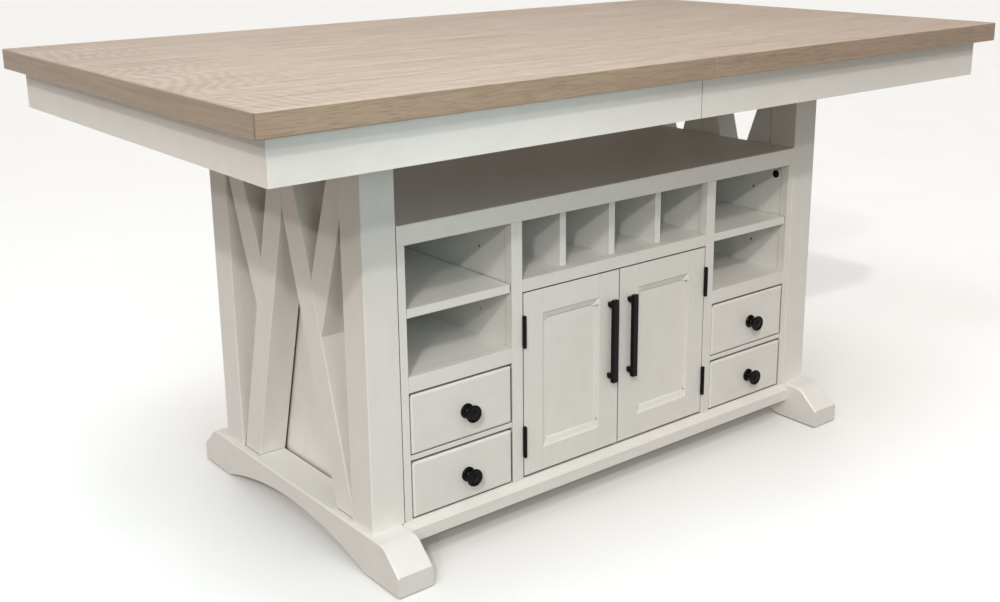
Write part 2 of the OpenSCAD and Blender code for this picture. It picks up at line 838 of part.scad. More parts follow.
// Right-hand door: stiles, rails and a flat panel held in a rebate
module door() {
    x0 = door_out - door_width;
    x1 = x0 + door_meeting_stile;
    x2 = door_out - door_stile;
    z1 = door_bottom + door_stile;
    z2 = door_top - door_stile;
    rebate = 4;
    back = -face_y + door_thickness;
    panel_front = -face_y + door_bevel_depth;
    gap = glue_gap;
    // Lower and upper [x, z] corner of each frame piece
    pieces = [
        [[x0, door_bottom], [x1 - gap / 2, door_top]],
        [[x2 + gap / 2, door_bottom], [door_out, door_top]],
        [[x1 + gap / 2, door_bottom], [x2 - gap / 2, z1 + door_bevel_width]],
        [[x1 + gap / 2, z2 - door_bevel_width], [x2 - gap / 2, door_top]]
    ];
    color(paint) {
        for (p = pieces) difference() {
            eased_span([p[0].x, -face_y, p[0].y], [p[1].x, back, p[1].y], 0.4);
            door_recess();
            span([x1 - rebate, panel_front, z1 - rebate], [x2 + rebate, back + 1, z2 + rebate]);
        }
        span([x1 - rebate + gap, panel_front + gap, z1 - rebate + gap],
            [x2 + rebate - gap, back - 2, z2 + rebate - gap]);
    }
}

// One knuckle of a hinge barrel, counted from below
module knuckle(index, radius) {
    step = hinge_length / knuckle_count;
    translate([0, 0, index * step + knuckle_gap / 2]) cylinder(r = radius, h = step - knuckle_gap);
}

// Strip that joins one knuckle to its leaf at the given X
module knuckle_strap(index, leaf_x) {
    step = hinge_length / knuckle_count;
    translate([leaf_x - hinge_x, 0, index * step + knuckle_gap / 2])
        cube([hinge_leaf, hinge_y - face_y + 1, step - knuckle_gap]);
}

// Rounded cap on the end of a hinge pin
module hinge_finial(r) {
    rotate_extrude() polygon([
        [0, 0], [r - 0.4, 0], [r, 0.5], [r, 1.3], [r - 0.7, 2.3], [r - 2, 3], [0, 3.3]
    ]);
}

// Hinge half on the frame: leaf, three knuckles, the pin and its round ends
module hinge_frame_half() {
    leaf_x = door_side - hinge_leaf;
    r = hinge_barrel / 2;
    translate([hinge_x, -hinge_y, -hinge_length / 2]) {
        for (i = [0 : 2 : knuckle_count - 1]) {
            knuckle(i, r);
            knuckle_strap(i, leaf_x);
        }
        cylinder(d = hinge_pin, h = hinge_length);
        for (end = [0, 1]) translate([0, 0, end * hinge_length]) mirror([0, 0, 1 - end])
            translate([0, 0, -knuckle_gap / 2]) hinge_finial(r);
        translate([leaf_x - hinge_x, hinge_y - face_y + 0.4, 0])
            cube([hinge_leaf, door_thickness - 4, hinge_length]);
    }
}

// Hinge half on the door: leaf and two bored knuckles
module hinge_door_half() {
    r = hinge_barrel / 2;
    translate([hinge_x, -hinge_y, -hinge_length / 2]) difference() {
        union() {
            for (i = [1 : 2 : knuckle_count - 1]) {
                knuckle(i, r);
                knuckle_strap(i, door_out);
            }
            translate([door_out - hinge_x, hinge_y - face_y + 0.4, 0])
                cube([hinge_leaf, door_thickness - 4, hinge_length]);
        }
        translate([0, 0, -1]) cylinder(d = hinge_pin + 2 * turning_gap, h = hinge_length + 2);
    }
}

module hinge_frame_leaves() {
    color(black_metal) both_ends() for (z = hinge_heights) translate([0, 0, z]) hinge_frame_half();
}

module hinge_door_leaves() {
    color(black_metal) for (z = hinge_heights) translate([0, 0, z]) hinge_door_half();
}

// Square bar pull on two flared posts, on the meeting stile of the right-hand door
module pull() {
    bar_back = pull_projection - pull_thickness;
    foot = pull_post / 2;
    flare = foot + 2.5;
    color(black_metal) translate([door_meeting_gap / 2 + pull_edge, -face_y, pull_height]) {
        eased_span([-pull_width / 2, -pull_projection, -pull_length / 2],
            [pull_width / 2, -bar_back, pull_length / 2], 0.8);
        for (s = [-1, 1]) translate([0, 0, s * pull_centres / 2]) along_x(pull_post)
            polygon([[0, -foot], [0, foot], [-bar_back - 1, flare], [-bar_back - 1, -flare]]);
    }
}

// --- Worktop, apron and extension ------------------------------------------

// Places of the alignment dowels across the worktop
dowel_places = [-top_width * 0.36, 0, top_width * 0.36];
dowel_left = 26;
dowel_right = 16;

module dowel_holes(depth, radius_gap) {
    for (y = dowel_places)
        bore_x([0, y, top_under + top_thickness / 2], dowel_diameter + 2 * radius_gap, 2 * depth);
}

module left_top() {
    color(oak) difference() {
        eased_span([-top_end, -top_width / 2, top_under], [-seam_gap / 2, top_width / 2, island_height],
            top_ease);
        dowel_holes(dowel_left + 1, 0.05);
    }
}

module right_top() {
    color(oak) difference() {
        eased_span([seam_gap / 2, -top_width / 2, top_under], [top_end, top_width / 2, island_height],
            top_ease);
        dowel_holes(dowel_right + 2, hole_gap);
    }
}

module alignment_dowels() {
    color(bare_wood) for (y = dowel_places) translate([-dowel_left, y, top_under + top_thickness / 2])
        rotate([0, 90, 0]) {
            cylinder(d = dowel_diameter, h = dowel_left + dowel_right - 2);
            translate([0, 0, dowel_left + dowel_right - 2])
                cylinder(d1 = dowel_diameter, d2 = dowel_diameter - 4, h = 2);
        }
}

// Right-hand apron: an end board and two side boards, mitred at the corners
module apron() {
    out_x = top_end - apron_inset;
    in_x = out_x - apron_thickness;
    out_y = top_width / 2 - apron_inset;
    in_y = out_y - apron_thickness;
    g = glue_gap / 2;
    color(paint) translate([0, 0, top_under - apron_height]) linear_extrude(apron_height) {
        polygon([[out_x, -out_y + g], [out_x, out_y - g], [in_x, in_y - g], [in_x, -in_y + g]]);
        both_sides() polygon([
            [apron_gap / 2, out_y], [out_x - g, out_y], [in_x - g, in_y], [apron_gap / 2, in_y]
        ]);
    }
}

// Fixed wooden slides on the trestles, grooved on both sides
module fixed_slides() {
    middle = (slide_top + trestle_top) / 2;
    half = tongue_height / 2 + sliding_gap;
    color(bare_wood) both_sides() difference() {
        span([-post_out, slide_reach - slide_width / 2, trestle_top],
            [post_out, slide_reach + slide_width / 2, slide_top]);
        for (s = [-1, 1]) span(
            [-post_out - 1, slide_reach + s * slide_width / 2 - groove_depth, middle - half],
            [post_out + 1, slide_reach + s * slide_width / 2 + groove_depth, middle + half]
        );
    }
}

// Moving slides under one half of the worktop; side is 1 outside the fixed slides, -1 inside
module moving_slides(side) {
    middle = (slide_top + trestle_top) / 2;
    near = slide_reach + side * (slide_width / 2 + sliding_gap);
    far = near + side * mover_thickness;
    tip = near - side * (groove_depth - sliding_gap);
    end_x = top_end - apron_inset - apron_thickness - 10;
    color(bare_wood) both_sides() {
        span([20, min(near, far), trestle_top + slide_gap], [end_x, max(near, far), top_under]);
        span([20, min(near, tip) - 0.01, middle - tongue_height / 2],
            [end_x, max(near, tip) + 0.01, middle + tongue_height / 2]);
    }
}

// Involute polar angle of a point at radius r on the pinion's base circle
function involute(r) =
    let (ratio = r / (pitch_radius * cos(pressure_angle)))
    sqrt(pow(ratio, 2) - 1) * 180 / PI - acos(1 / ratio);

// Half of a pinion tooth's angle at radius r
function tooth_half_angle(r) =
    tooth_width / 2 / pitch_radius * 180 / PI + involute(pitch_radius) - involute(r);

// One pinion tooth about the given direction, as a run of points
function pinion_tooth(direction) =
    let (
        base = pitch_radius * cos(pressure_angle),
        tip = pitch_radius + tooth_addendum,
        root = pitch_radius - tooth_dedendum,
        radii = [for (i = [0 : 5]) base + 0.001 + (tip - base - 0.001) * i / 5],
        flank = [for (r = radii) [r, tooth_half_angle(r)]],
        run = concat([[root, tooth_half_angle(base + 0.001)]], flank)
    )
    concat(
        [for (p = run) p[0] * [cos(direction - p[1]), sin(direction - p[1])]],
        [for (i = [len(run) - 1 : -1 : 0])
            run[i][0] * [cos(direction + run[i][1]), sin(direction + run[i][1])]]
    );

module equaliser_pinion() {
    outline = [for (i = [0 : pinion_teeth - 1]) each pinion_tooth(i * 360 / pinion_teeth)];
    color(steel) difference() {
        union() {
            translate([0, 0, gear_bottom]) linear_extrude(gear_thickness) polygon(outline);
            translate([0, 0, trestle_top + 0.4])
                cylinder(r = 11, h = gear_bottom - trestle_top);
        }
        translate([0, 0, trestle_top - 1]) cylinder(r = axle_radius + turning_gap, h = 60);
    }
}

// Toothed rack of the right half, in front of the pinion, with its wooden batten
module rack() {
    first = -ceil((extension_travel + 30) / tooth_pitch);
    last = 4;
    root_y = pitch_radius + tooth_dedendum;
    tip_y = pitch_radius - tooth_addendum;
    lean = tan(pressure_angle);
    half_root = tooth_width / 2 + tooth_dedendum * lean;
    half_tip = tooth_width / 2 - tooth_addendum * lean;
    start = first * tooth_pitch;
    end = 300;
    teeth = [for (i = [first : last])
        let (x = (i + 0.5) * tooth_pitch)
        each [[x - half_root, -root_y], [x - half_tip, -tip_y], [x + half_tip, -tip_y],
            [x + half_root, -root_y]]
    ];
    outline = concat([[start, -root_y - rack_width]], [[start, -root_y]], teeth,
        [[end, -root_y], [end, -root_y - rack_width]]);
    color(steel) {
        translate([0, 0, gear_bottom]) linear_extrude(gear_thickness) polygon(outline);
        span([40, -root_y - rack_width, gear_top - 0.01], [end, -root_y - 1, top_under]);
    }
}

// Board between the fixed slides with the pinion's axle bolt
module gear_bridge() {
    half_y = slide_reach + slide_width / 2;
    under = trestle_top - bridge_thickness;
    color(bare_wood) difference() {
        span([-bridge_half, -half_y, under], [bridge_half, half_y, trestle_top]);
        translate([0, 0, under - 1]) cylinder(r = 4 + hole_gap / 2, h = 40);
    }
    color(steel) {
        translate([0, 0, under - 5]) cylinder(r = 8, h = 5 - 0.1, $fn = 6);
        translate([0, 0, under - 1]) cylinder(r = 4, h = bridge_thickness + 2);
        translate([0, 0, trestle_top + 0.1]) cylinder(r = axle_radius, h = gear_top - trestle_top + 0.6);
        translate([0, 0, gear_top + 0.6]) cylinder(r = 8, h = 2);
    }
}

// --- Nodes -----------------------------------------------------------------

mirror([1, 0, 0]) foot_beam();  // left_foot_beam
foot_beam();  // right_foot_beam
mirror([1, 0, 0]) mirror([0, 1, 0]) post();  // left_front_post
mirror([1, 0, 0]) post();  // left_back_post
mirror([0, 1, 0]) post();  // right_front_post
post();  // right_back_post
mirror([1, 0, 0]) long_braces();  // left_long_braces
mirror([1, 0, 0]) short_braces();  // left_short_braces
long_braces();  // right_long_braces
short_braces();  // right_short_braces
trestle_top_rails();
floor_glides();
cabinet_ends();
partitions();
cabinet_floor();
bay_floors();
cubby_floor();
cubby_dividers();
open_shelf();
back_panel();
back_frame();
face_frame_stiles();
face_frame_rails();
base_mouldings();
adjustable_shelves();
shelf_supports();
cabinet_bolts();
drawer_runners();
hinge_frame_leaves();
door_catches();
fixed_slides();
gear_bridge();
equaliser_pinion();
left_top();
mirror([1, 0, 0]) apron();  // left_apron
mirror([1, 0, 0]) moving_slides(1);  // left_slides
rotate([0, 0, 180]) rack();  // left_rack
alignment_dowels();
right_top();
apron();  // right_apron
moving_slides(-1);  // right_slides
rack();  // right_rack
mirror([1, 0, 0]) upper_drawer_front();  // left_upper_drawer_front
mirror([1, 0, 0]) upper_drawer_box();  // left_upper_drawer_box
mirror([1, 0, 0]) upper_knob(-1);  // left_upper_knob
mirror([1, 0, 0]) lower_drawer_front();  // left_lower_drawer_front
mirror([1, 0, 0]) lower_drawer_box();  // left_lower_drawer_box
mirror([1, 0, 0]) lower_knob(-1);  // left_lower_knob
upper_drawer_front();  // right_upper_drawer_front
upper_drawer_box();  // right_upper_drawer_box
upper_knob(1);  // right_upper_knob
lower_drawer_front();  // right_lower_drawer_front
lower_drawer_box();  // right_lower_drawer_box
lower_knob(1);  // right_lower_knob
mirror([1, 0, 0]) door();  // left_door
mirror([1, 0, 0]) hinge_door_leaves();  // left_door_hinge_leaves
mirror([1, 0, 0]) pull();  // left_pull
door();  // right_door
hinge_door_leaves();  // right_door_hinge_leaves
pull();  // right_pull
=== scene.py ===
"""Dresses the kitchen island: finishes for its CAD nodes, a pale studio and the photograph's camera.

Metres, in the frame's axes: +X along the worktop, the drawers and doors facing -Y, +Z up from the floor.
The CAD solids already have every form, so nothing is added to them or replaced. Texture scales are in
cycles per metre.
"""
import math

import bpy
from mathutils import Matrix, Vector


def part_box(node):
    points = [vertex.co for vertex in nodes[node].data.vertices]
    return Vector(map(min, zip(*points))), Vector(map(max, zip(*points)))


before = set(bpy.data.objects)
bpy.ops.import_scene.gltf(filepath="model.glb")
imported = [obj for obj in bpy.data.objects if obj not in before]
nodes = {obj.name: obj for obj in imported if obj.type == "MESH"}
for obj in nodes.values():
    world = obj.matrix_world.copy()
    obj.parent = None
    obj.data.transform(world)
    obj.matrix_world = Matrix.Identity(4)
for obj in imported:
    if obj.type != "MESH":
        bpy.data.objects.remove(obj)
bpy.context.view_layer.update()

scene = bpy.context.scene
# The closed worktop's two outermost corners
worktop_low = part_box("left_top")[0]
worktop_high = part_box("right_top")[1]

AXIS_X, AXIS_Y, AXIS_Z = 0, 1, 2


# --- Node helpers ------------------------------------------------------------

# Sockets of a colour mix node, which share their names with those of the other kinds of mix
MIX_FACTOR, MIX_A, MIX_B, MIX_RESULT = 0, 6, 7, 2

# Span that most of a noise texture lies in
NOISE_LOW, NOISE_HIGH = 0.3, 0.7

WHITE = (1.0, 1.0, 1.0)


class Finish:
    """A material's node tree, with short names for the nodes that the finishes share."""

    def __init__(self, name):
        self.material = bpy.data.materials.new(name)
        self.material.use_nodes = True
        self.tree = self.material.node_tree
        self.bsdf = self.tree.nodes["Principled BSDF"]
        coordinates = self.tree.nodes.new("ShaderNodeTexCoord")
        self.position = coordinates.outputs["Object"]
        self.normal = coordinates.outputs["Normal"]

    def add(self, kind, **settings):
        node = self.tree.nodes.new(kind)
        for key, value in settings.items():
            setattr(node, key, value)
        return node

    def plug(self, value, socket):
        """Put a number, a colour or the output of another node into a socket."""
        if isinstance(value, (int, float)):
            socket.default_value = value
        elif isinstance(value, tuple):
            socket.default_value = (*value, 1.0)
        else:
            self.tree.links.new(value, socket)

    def noise(self, scale, detail=3.0, rough=0.5, shift=(0, 0, 0), source=None):
        """Noise texture with its own scale along each axis."""
        mapping = self.add("ShaderNodeMapping")
        mapping.inputs["Scale"].default_value = scale
        mapping.inputs["Location"].default_value = shift
        self.plug(source or self.position, mapping.inputs["Vector"])
        texture = self.add("ShaderNodeTexNoise")
        texture.inputs["Scale"].default_value = 1.0
        texture.inputs["Detail"].default_value = detail
        texture.inputs["Roughness"].default_value = rough
        self.plug(mapping.outputs["Vector"], texture.inputs["Vector"])
        return texture.outputs["Fac"]

    def crevice(self, reach):
        """How open a point lies: 0 deep in a gap or an inner corner of this reach, 1 in the open."""
        node = self.add("ShaderNodeAmbientOcclusion", samples=8)
        node.inputs["Distance"].default_value = reach
        return node.outputs["AO"]

    def split(self, vector):
        """A vector's X, Y and Z."""
        node = self.add("ShaderNodeSeparateXYZ")
        self.plug(vector, node.inputs["Vector"])
        return node.outputs

    def math(self, operation, a, b=0.0, clamp=False):
        node = self.add("ShaderNodeMath", operation=operation, use_clamp=clamp)
        self.plug(a, node.inputs[0])
        self.plug(b, node.inputs[1])
        return node.outputs["Value"]

    def remap(self, value, low, high, to_low, to_high):
        """Stretch low...high to to_low...to_high, and hold the ends."""
        node = self.add("ShaderNodeMapRange")
        node.inputs["From Min"].default_value = low
        node.inputs["From Max"].default_value = high
        node.inputs["To Min"].default_value = to_low
        node.inputs["To Max"].default_value = to_high
        self.plug(value, node.inputs["Value"])
        return node.outputs["Result"]

    def ramp(self, value, first, last):
        """Colour that goes from the first stop to the last, each a place and a colour."""
        node = self.add("ShaderNodeValToRGB")
        for stop, (place, colour) in zip(node.color_ramp.elements, (first, last)):
            stop.position = place
            stop.color = (*colour, 1.0)
        self.plug(value, node.inputs["Fac"])
        return node.outputs["Color"]

    def mix(self, factor, a, b, blend="MIX"):
        node = self.add("ShaderNodeMix", data_type="RGBA", blend_type=blend)
        self.plug(factor, node.inputs[MIX_FACTOR])
        self.plug(a, node.inputs[MIX_A])
        self.plug(b, node.inputs[MIX_B])
        return node.outputs[MIX_RESULT]

    def tint(self, colour, shade):
        """One colour darkened by another."""
        return self.mix(1.0, colour, shade, "MULTIPLY")

    def relief(self, coarse, fine, share):
        """Height of which the coarse texture makes the given share and the fine one the rest."""
        rest = self.math("MULTIPLY", fine, 1.0 - share)
        return self.math("ADD", self.math("MULTIPLY", coarse, share), rest)

    def colour(self, value):
        self.plug(value, self.bsdf.inputs["Base Color"])

    def roughness(self, texture, low, high):
        """Roughness that follows a noise texture."""
        self.plug(self.remap(texture, NOISE_LOW, NOISE_HIGH, low, high), self.bsdf.inputs["Roughness"])

    def specular(self, level):
        self.bsdf.inputs["Specular IOR Level"].default_value = level

    def bump(self, height, strength, distance):
        node = self.add("ShaderNodeBump")
        node.inputs["Strength"].default_value = strength
        node.inputs["Distance"].default_value = distance
        self.plug(height, node.inputs["Height"])
        self.plug(node.outputs["Normal"], self.bsdf.inputs["Normal"])


def even(scale):
    """Scale of a texture that is the same in every direction."""
    return (scale, scale, scale)


def along(axis, lengthwise, across):
    """Scale of a texture whose streaks run along one axis."""
    return tuple(lengthwise if i == axis else across for i in (AXIS_X, AXIS_Y, AXIS_Z))


def shaded(colour, factor):
    """A colour made lighter or darker."""
    return tuple(channel * factor for channel in colour)


# --- Finishes ----------------------------------------------------------------

# Paint
PAINT = (0.802, 0.794, 0.766)
STREAK_SHADE = (0.988, 0.986, 0.982)
BLOTCH_SHADE = (0.968, 0.966, 0.960)
# Painted shade that darkens the paint in gaps and inner corners
GAP_PAINTED_SHADE = (0.07, 0.055, 0.045)
# How far from a wall the painted brown shade in a gap or an inner corner can reach
GAP_PAINTED_SHADE_REACH = 0.010

# Oak veneer
OAK_PALE = (0.540, 0.433, 0.360)
OAK_MID = (0.465, 0.367, 0.300)
OAK_DEEP = (0.325, 0.250, 0.200)
OAK_PORE_SHADE = (0.79, 0.765, 0.74)
# Painted shade: the worktop's edges are darker than its face
OAK_EDGE_PAINTED_SHADE = (0.68, 0.63, 0.54)
OAK_MITRE = (0.13, 0.075, 0.055)
# How far the lengthwise streaks wander sideways
OAK_WANDER = 0.05
# Distances from the worktop's left end over which its arched figure fades out
FIGURE_FULL, FIGURE_GONE = 0.074, 0.334
# The figure's wave: radians per metre along the worktop, and the radians that bend it into arches
FIGURE_WAVE, FIGURE_BOW = 240.0, 55.0
# The mitre line begins and is complete at these distances from a corner, taken along x plus along y
MITRE_BEGINS, MITRE_COMPLETE = 0.0021, 0.0015

# Bare wood, metal and plastic
BARE_PALE = (0.62, 0.47, 0.31)
BARE_DEEP = (0.45, 0.31, 0.185)
BLACK = (0.0022, 0.0020, 0.0019)
ZINC = (0.52, 0.53, 0.54)
GREY = (0.10, 0.10, 0.098)


def painted(name, axis):
    """Satin off-white paint: a faint drift of tone, soft blotches, brush streaks along the board with a
    finer grain in its skin, and painted brown shade in the gaps and inner corners."""
    finish = Finish(name)
    # Shifted, so that boards in different directions don't drift alike
    drift = finish.noise(even(2.2), detail=2.0, shift=(axis, 0, 0))
    streak = finish.noise(along(axis, 2.0, 70.0), detail=4.0, rough=0.6)
    grain = finish.noise(along(axis, 14.0, 420.0), detail=2.0)
    blotch = finish.noise(along(axis, 22.0, 34.0), rough=0.6)

    coat = finish.ramp(drift, (NOISE_LOW, shaded(PAINT, 0.975)), (NOISE_HIGH, shaded(PAINT, 1.015)))
    coat = finish.tint(coat, finish.ramp(streak, (0.35, STREAK_SHADE), (0.65, WHITE)))
    coat = finish.tint(coat, finish.ramp(blotch, (0.32, BLOTCH_SHADE), (0.62, WHITE)))
    # Painted shade: brown in the gaps and inner corners, deepest where the walls close in
    coat = finish.tint(coat, finish.ramp(finish.crevice(GAP_PAINTED_SHADE_REACH), (0.15, GAP_PAINTED_SHADE), (0.48, WHITE)))
    finish.colour(coat)
    finish.roughness(streak, 0.36, 0.46)
    finish.bump(finish.relief(streak, grain, 0.6), 0.04, 0.0005)
    return finish.material


def oak(name):
    """Greyed oak veneer: streaks and pores along the worktop, arched figure near the left end, edge bands
    with their own grain and painted shade, and a dark mitre at the corners."""
    finish = Finish(name)
    place = finish.split(finish.position)
    facing = finish.split(finish.normal)
    top_face = finish.remap(finish.math("ABSOLUTE", facing["Z"]), 0.5, 0.9, 0.0, 1.0)
    end_face = finish.remap(finish.math("ABSOLUTE", facing["X"]), 0.5, 0.9, 0.0, 1.0)

    # Streaks along the worktop, which wander sideways
    bend = finish.add("ShaderNodeCombineXYZ")
    warp = finish.noise(along(AXIS_X, 1.3, 2.4), detail=2.0)
    finish.plug(finish.math("MULTIPLY", warp, OAK_WANDER), bend.inputs["Y"])
    wander = finish.add("ShaderNodeVectorMath", operation="ADD")
    finish.plug(finish.position, wander.inputs[0])
    finish.plug(bend.outputs["Vector"], wander.inputs[1])
    wavy = wander.outputs["Vector"]
    broad = finish.noise(along(AXIS_X, 0.9, 11.0), detail=4.0, rough=0.62, source=wavy)
    streak = finish.noise(along(AXIS_X, 3.2, 95.0), rough=0.6, source=wavy)
    pores = finish.noise(along(AXIS_X, 22.0, 620.0), detail=2.0, source=wavy)

    # Streaks along the end bands
    end_broad = finish.noise((11.0, 1.2, 14.0), detail=4.0, rough=0.6)
    end_streak = finish.noise((95.0, 4.0, 120.0), rough=0.6)

    # Arched figure: nested curves that open towards the left end
    bow = finish.math("MULTIPLY", finish.noise((1.5, 5.5, 1.0), detail=1.0), FIGURE_BOW)
    phase = finish.math("ADD", finish.math("MULTIPLY", place["X"], FIGURE_WAVE), bow)
    wave = finish.remap(finish.math("SINE", phase), -1.0, 1.0, 0.0, 1.0)
    near_end = finish.remap(place["X"], worktop_low.x + FIGURE_FULL, worktop_low.x + FIGURE_GONE, 1.0, 0.0)
    arches = finish.math("MULTIPLY", finish.math("MULTIPLY", wave, near_end, clamp=True), top_face)

    # Mitre line across the edge bands at the corners, where |x| + |y| is greatest
    outward = finish.math("ADD", finish.math("ABSOLUTE", place["X"]), finish.math("ABSOLUTE", place["Y"]))
    corner = worktop_high.x + worktop_high.y
    mitre = finish.remap(outward, corner - MITRE_BEGINS, corner - MITRE_COMPLETE, 0.0, 0.75)
    mitre = finish.math("MULTIPLY", mitre, finish.math("SUBTRACT", 1.0, top_face))

    def streaked(broad_texture, fine_texture):
        return finish.mix(0.5, finish.ramp(broad_texture, (NOISE_LOW, OAK_MID), (NOISE_HIGH, OAK_PALE)),
                          finish.ramp(fine_texture, (0.25, OAK_DEEP), (0.6, OAK_PALE)))

    wood = finish.mix(end_face, streaked(broad, streak), streaked(end_broad, end_streak))
    wood = finish.mix(finish.math("MULTIPLY", arches, 0.40), wood, OAK_DEEP)
    wood = finish.tint(wood, finish.ramp(pores, (0.38, OAK_PORE_SHADE), (0.52, WHITE)))
    # Painted shade: every face but the top darkened
    wood = finish.tint(wood, finish.mix(top_face, OAK_EDGE_PAINTED_SHADE, WHITE))
    wood = finish.mix(mitre, wood, OAK_MITRE)
    finish.colour(wood)
    finish.roughness(streak, 0.34, 0.48)
    finish.bump(finish.relief(streak, pores, 0.5), 0.12, 0.0005)
    return finish.material


def bare_wood(name, axis):
    """Sanded unpainted wood with streaks along the board."""
    finish = Finish(name)
    broad = finish.noise(along(axis, 1.2, 16.0), detail=4.0, rough=0.6)
    streak = finish.noise(along(axis, 5.0, 150.0), rough=0.6)
    finish.colour(finish.mix(0.5, finish.ramp(broad, (NOISE_LOW, BARE_DEEP), (NOISE_HIGH, BARE_PALE)),
                             finish.ramp(streak, (NOISE_LOW, BARE_DEEP), (0.62, BARE_PALE))))
    finish.roughness(streak, 0.5, 0.62)
    finish.bump(streak, 0.12, 0.0005)
    return finish.material


def metal(name, colour, metallic, roughness, specular=0.5):
    """Coated or plated metal with a fine uneven skin, its roughness between the two values given."""
    finish = Finish(name)
    skin = finish.noise(even(900.0), detail=2.0)
    cloud = finish.noise(even(60.0), detail=2.0)
    finish.colour(finish.ramp(cloud, (NOISE_LOW, shaded(colour, 0.8)), (NOISE_HIGH, shaded(colour, 1.25))))
    finish.bsdf.inputs["Metallic"].default_value = metallic
    finish.specular(specular)
    finish.roughness(cloud, *roughness)
    finish.bump(skin, 0.05, 0.0002)
    return finish.material


def plastic(name, colour):
    """Moulded plastic with a fine matt texture."""
    finish = Finish(name)
    skin = finish.noise(even(700.0), detail=2.0)
    finish.colour(finish.ramp(skin, (NOISE_LOW, shaded(colour, 0.85)), (NOISE_HIGH, colour)))
    finish.roughness(skin, 0.45, 0.6)
    finish.bump(skin, 0.1, 0.0002)
    return finish.material


paint_x = painted("paint_lengthwise", AXIS_X)
paint_y = painted("paint_crosswise", AXIS_Y)
paint_z = painted("paint_upright", AXIS_Z)
oak_top = oak("oak_veneer")
wood_x = bare_wood("bare_wood_lengthwise", AXIS_X)
wood_y = bare_wood("bare_wood_crosswise", AXIS_Y)
black = metal("black_metal", BLACK, metallic=0.0, roughness=(0.24, 0.36), specular=0.13)
zinc = metal("zinc_plated_steel", ZINC, metallic=1.0, roughness=(0.25, 0.38))
grey = plastic("grey_plastic", GREY)


def finish_for(name):
    """The finish of a CAD node, with its streaks along the length of its boards."""
    if name in ("left_top", "right_top"):
        return oak_top
    if name.endswith(("_knob", "_pull", "_leaves")) or name == "cabinet_bolts":
        return black
    if name.endswith("_rack") or name in ("equaliser_pinion", "shelf_supports"):
        return zinc
    if name in ("floor_glides", "door_catches"):
        return grey
    if name.endswith("_slides") or name == "alignment_dowels":
        return wood_x
    if name.endswith("_drawer_box") or name in ("drawer_runners", "gear_bridge"):
        return wood_y
    if name.endswith("_foot_beam") or name in ("trestle_top_rails", "cubby_dividers"):
        return paint_y
    if name.endswith(("_post", "_braces", "_door", "_stiles")):
        return paint_z
    if name in ("cabinet_ends", "partitions", "back_panel"):
        return paint_z
    return paint_x


for name, piece in nodes.items():
    piece.data.materials.clear()
    piece.data.materials.append(finish_for(name))


# --- Floor and backdrop --------------------------------------------------------

FLOOR_DARK, FLOOR_LIGHT = (0.855, 0.852, 0.848), (0.870, 0.867, 0.863)
FLOOR_REACH = 40.0
DOME_DARK, DOME_LIGHT = (0.93, 0.93, 0.92), (0.95, 0.95, 0.94)
DOME_RADIUS = 60.0
# The dome's rim lies this far below the floor
DOME_SINK = 1.0
DOME_TURNS, DOME_ROWS = 48, 12


def add_object(name, data):
    """New object in the scene."""
    new_object = bpy.data.objects.new(name, data)
    scene.collection.objects.link(new_object)
    return new_object


def mesh_of(name, corners, faces, material):
    """Mesh of one material."""
    mesh = bpy.data.meshes.new(name)
    mesh.from_pydata(corners, [], faces)
    mesh.materials.append(material)
    return mesh


def studio_floor():
    """Plain pale floor, wide enough to fill the frame, which throws no light back up at the object."""
    finish = Finish("pale_floor")
    finish.colour(finish.ramp(finish.noise(even(3.0)), (NOISE_LOW, FLOOR_DARK), (NOISE_HIGH, FLOOR_LIGHT)))
    finish.bsdf.inputs["Roughness"].default_value = 0.9
    finish.specular(0.2)
    corners = [(x * FLOOR_REACH, y * FLOOR_REACH, 0) for x, y in ((-1, -1), (1, -1), (1, 1), (-1, 1))]
    floor = add_object("studio_floor", mesh_of("studio_floor", corners, [(0, 1, 2, 3)], finish.material))
    floor.visible_diffuse = False


def dome_corner(turn, row):
    """Corner of the backdrop: turn counts round the dome, and row up it from the rim."""
    angle = math.tau * turn / DOME_TURNS
    height = math.pi / 2 * row / DOME_ROWS
    return (DOME_RADIUS * math.cos(angle) * math.cos(height),
            DOME_RADIUS * math.sin(angle) * math.cos(height),
            DOME_RADIUS * math.sin(height) - DOME_SINK)


def studio_backdrop():
    """Pale dome far behind everything, seen by the camera alone where a low view looks past the floor."""
    finish = Finish("pale_backdrop")
    # It glows and throws nothing back
    finish.colour((0.0, 0.0, 0.0))
    finish.specular(0.0)
    glow = finish.ramp(finish.noise(even(0.02)), (NOISE_LOW, DOME_DARK), (NOISE_HIGH, DOME_LIGHT))
    finish.plug(glow, finish.bsdf.inputs["Emission Color"])
    finish.bsdf.inputs["Emission Strength"].default_value = 1.0
    finish.material.cycles.emission_sampling = "NONE"

    corners = [dome_corner(turn, row) for row in range(DOME_ROWS) for turn in range(DOME_TURNS)]
    corners.append((0, 0, DOME_RADIUS - DOME_SINK))
    peak = len(corners) - 1
    last_ring = peak - DOME_TURNS
    faces = []
    for turn in range(DOME_TURNS):
        following = (turn + 1) % DOME_TURNS
        for ring in range(0, last_ring, DOME_TURNS):
            next_ring = ring + DOME_TURNS
            faces.append((ring + turn, ring + following, next_ring + following, next_ring + turn))
        faces.append((last_ring + turn, last_ring + following, peak))
    dome = add_object("studio_backdrop", mesh_of("studio_backdrop", corners, faces, finish.material))
    for ray in ("diffuse", "glossy", "transmission", "volume_scatter", "shadow"):
        setattr(dome, "visible_" + ray, False)


# --- Light ---------------------------------------------------------------------

SKY = (0.95, 1.0, 1.0)
NEUTRAL = (1.0, 0.98, 0.96)
WARM = (1.0, 0.97, 0.93)


